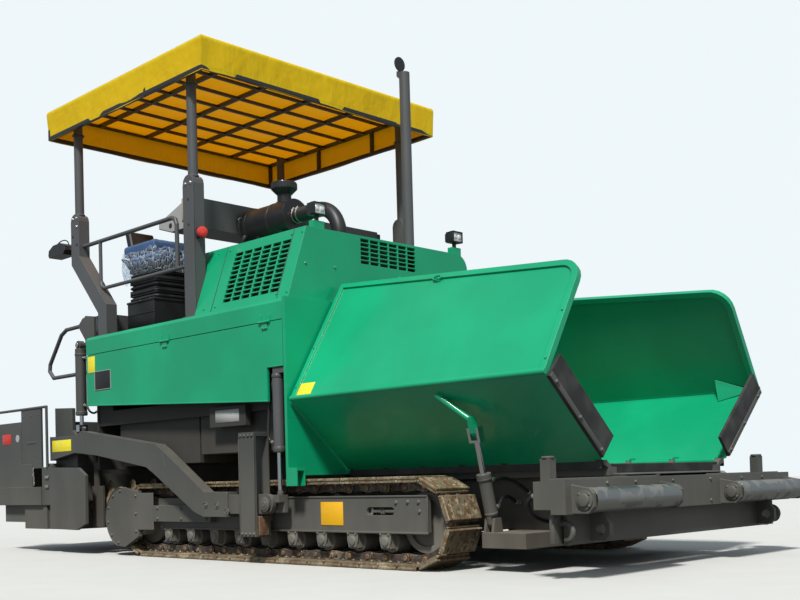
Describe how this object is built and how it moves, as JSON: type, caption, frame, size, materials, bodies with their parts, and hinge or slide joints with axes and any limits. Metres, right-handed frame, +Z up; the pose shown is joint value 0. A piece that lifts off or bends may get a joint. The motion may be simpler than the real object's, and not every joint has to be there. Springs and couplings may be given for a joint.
{
  "type": "tracked asphalt paver",
  "caption": "Tracked asphalt paver with raised folding hopper wings, push rollers, canopy over the operator's place, tow arms, augers and an extending screed.",
  "frame": {"origin": "on the ground under the middle of the machine's box", "axes": "+X is the way it drives, towards the hopper; +Y its left side; +Z up"},
  "size_m": [6.6, 2.58, 3.982],
  "materials": {
    "green_paint": "glossy green enamel with light dust",
    "dark_paint": "dark grey enamel, satin",
    "black_paint": "black enamel, dull",
    "track_steel": "worn steel with dried mud",
    "bright_rod": "polished chrome",
    "roller_steel": "rolled steel, scuffed bright",
    "flap_rubber": "scuffed black rubber",
    "hose_rubber": "dull black rubber",
    "canopy_fabric": "coated yellow cloth",
    "seat_vinyl": "blue-grey vinyl under clear wrapping",
    "bellows_rubber": "ribbed black rubber"
  },
  "bodies": {
    "chassis": {"main_frame": "dark_paint", "cross_boxes": "dark_paint", "cylinder_feet": "dark_paint", "deck_legs": "dark_paint", "deck_beams": "dark_paint", "deck_rails": "dark_paint", "tunnel_walls": "black_paint", "rear_wall": "dark_paint", "engine_block": "black_paint", "side_tanks": "black_paint", "track_frames": "dark_paint", "track_right": "track_steel", "track_left": "track_steel", "track_wheels": "track_steel", "drive_guards": "dark_paint", "conveyor": "black_paint", "hopper_sills": "dark_paint", "hopper_back": "green_paint", "hopper_cheeks": "green_paint", "front_beam": "dark_paint", "hood": "green_paint", "side_sills": "green_paint", "platform": "dark_paint", "seat_bases": "dark_paint", "seats": "seat_vinyl", "console": "dark_paint", "handrails": "dark_paint", "canopy_posts": "dark_paint", "canopy_frame": "dark_paint", "canopy_cover": "canopy_fabric", "exhaust_pipe": "dark_paint", "air_cleaner": "black_paint", "intake_hose": "hose_rubber", "work_lamps": "black_paint", "mirrors": "black_paint", "arm_guides": "dark_paint", "levelling_barrels": "dark_paint", "tow_points": "dark_paint"},
    "rain_cap": {"rain_cap": "black_paint"},
    "wing_right": {"wing_right": "green_paint", "wing_flap_right": "flap_rubber"},
    "wing_barrel_right": {"wing_barrel_right": "dark_paint"},
    "wing_rod_right": {"wing_rod_right": "bright_rod"},
    "push_roller_right": {"push_roller_right": "roller_steel"},
    "side_door_right": {"side_door_right": "green_paint"},
    "screed_extension_right": {"screed_extension_right": "dark_paint"},
    "auger_right": {"auger_right": "track_steel"},
    "wing_left": {"wing_left": "green_paint", "wing_flap_left": "flap_rubber"},
    "wing_barrel_left": {"wing_barrel_left": "dark_paint"},
    "wing_rod_left": {"wing_rod_left": "bright_rod"},
    "push_roller_left": {"push_roller_left": "roller_steel"},
    "side_door_left": {"side_door_left": "green_paint"},
    "screed_extension_left": {"screed_extension_left": "dark_paint"},
    "auger_left": {"auger_left": "track_steel"},
    "screed": {"tow_arms": "dark_paint", "screed_frame": "dark_paint", "screed_plate": "dark_paint"},
    "lift_barrels": {"lift_barrels": "dark_paint"},
    "lift_rods": {"lift_rods": "bright_rod"}
  },
  "joints": [
    {"name": "rain_cap_lid", "type": "hinge", "parent": "chassis", "child": "rain_cap", "pos_m": [0.38, 0.45, 3.854], "axis": [0, 1, 0], "range_deg": [0, 85]},
    {"name": "wing_right_fold", "type": "hinge", "parent": "chassis", "child": "wing_right", "pos_m": [1.95, -0.675, 0.62], "axis": [1, 0, 0], "range_deg": [0, 30]},
    {"name": "wing_right_cylinder", "type": "hinge", "parent": "chassis", "child": "wing_barrel_right", "pos_m": [2.37, -0.926, 0.285], "axis": [1, 0, 0], "range_deg": [0, 16.5]},
    {"name": "wing_right_rod", "type": "slide", "parent": "wing_barrel_right", "child": "wing_rod_right", "axis": [0, -0.251, 0.968], "range_m": [-0.19, 0.001]},
    {"name": "push_roller_right_spin", "type": "hinge", "parent": "chassis", "child": "push_roller_right", "pos_m": [3.235, -0.785, 0.425], "axis": [0, 1, 0], "continuous": true},
    {"name": "side_door_right_hinge", "type": "hinge", "parent": "chassis", "child": "side_door_right", "pos_m": [0.071, -1.249, 1.6475], "axis": [-1, 0, 0], "range_deg": [0, 80]},
    {"name": "auger_right_spin", "type": "hinge", "parent": "chassis", "child": "auger_right", "pos_m": [-1.725, -0.6, 0.43], "axis": [0, 1, 0], "continuous": true},
    {"name": "screed_extension_right_slide", "type": "slide", "parent": "screed", "child": "screed_extension_right", "axis": [0, -1, 0], "range_m": [0, 0.9]},
    {"name": "wing_left_fold", "type": "hinge", "parent": "chassis", "child": "wing_left", "pos_m": [1.95, 0.675, 0.62], "axis": [-1, 0, 0], "range_deg": [0, 30]},
    {"name": "wing_left_cylinder", "type": "hinge", "parent": "chassis", "child": "wing_barrel_left", "pos_m": [2.37, 0.926, 0.285], "axis": [-1, 0, 0], "range_deg": [0, 16.5]},
    {"name": "wing_left_rod", "type": "slide", "parent": "wing_barrel_left", "child": "wing_rod_left", "axis": [0, 0.251, 0.968], "range_m": [-0.19, 0.001]},
    {"name": "push_roller_left_spin", "type": "hinge", "parent": "chassis", "child": "push_roller_left", "pos_m": [3.235, 0.785, 0.425], "axis": [0, 1, 0], "continuous": true},
    {"name": "side_door_left_hinge", "type": "hinge", "parent": "chassis", "child": "side_door_left", "pos_m": [0.071, 1.249, 1.6475], "axis": [1, 0, 0], "range_deg": [0, 80]},
    {"name": "auger_left_spin", "type": "hinge", "parent": "chassis", "child": "auger_left", "pos_m": [-1.725, 0.6, 0.43], "axis": [0, 1, 0], "continuous": true},
    {"name": "screed_extension_left_slide", "type": "slide", "parent": "screed", "child": "screed_extension_left", "axis": [0, 1, 0], "range_m": [0, 0.9]},
    {"name": "screed_lift", "type": "hinge", "parent": "chassis", "child": "screed", "pos_m": [0.652, 0, 0.413], "axis": [0, 1, 0], "range_deg": [-3.4, 1.6]},
    {"name": "lift_cylinders", "type": "hinge", "parent": "chassis", "child": "lift_barrels", "pos_m": [-1.823, 0, 1.75], "axis": [0, 1, 0], "range_deg": [-1.3, 2.7]},
    {"name": "lift_rods_slide", "type": "slide", "parent": "lift_barrels", "child": "lift_rods", "axis": [0, 0, -1], "range_m": [-0.072, 0.15]}
  ],
  "couplings": [
    {"joint": "wing_right_cylinder", "follows": "wing_right_fold", "ratio": 0.547},
    {"joint": "wing_right_rod", "follows": "wing_right_fold", "m_per_rad": -0.3598},
    {"joint": "wing_left_cylinder", "follows": "wing_left_fold", "ratio": 0.547},
    {"joint": "wing_left_rod", "follows": "wing_left_fold", "m_per_rad": -0.3598},
    {"joint": "lift_cylinders", "follows": "screed_lift", "ratio": -0.75},
    {"joint": "lift_rods_slide", "follows": "screed_lift", "m_per_rad": -2.48}
  ]
}
